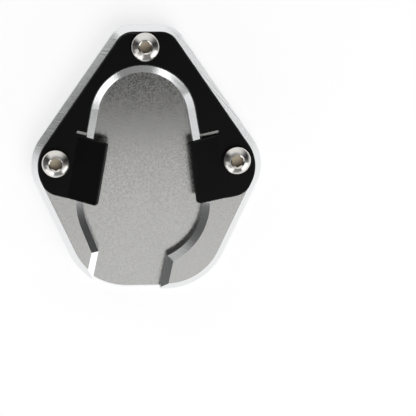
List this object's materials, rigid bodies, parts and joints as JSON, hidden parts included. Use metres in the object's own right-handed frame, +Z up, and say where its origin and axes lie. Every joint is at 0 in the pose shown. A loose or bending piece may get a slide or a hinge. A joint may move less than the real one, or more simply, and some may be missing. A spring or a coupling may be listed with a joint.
{
  "type": "kickstand foot enlarger",
  "caption": "Wide foot for a motorcycle kickstand: an aluminium plate with a pocket for the stand's foot and an open neck, and a black bent-sheet clamp plate screwed on top.",
  "frame": {"origin": "under the middle of the base, on its flat underside", "axes": "+Z up out of the pocket, +Y towards the closed arch end, the pocket's neck opens towards -Y"},
  "size_m": [0.0854, 0.099, 0.0168],
  "materials": {
    "machined_aluminium": "fine blasted top and pocket floor, bright machined chamfers",
    "black_sheet": "satin black coating",
    "stainless_screws": "polished stainless steel"
  },
  "bodies": {
    "root": {"base_plate": "machined_aluminium", "clamp_plate": "black_sheet", "clamp_screws": "stainless_screws"}
  },
  "joints": []
}
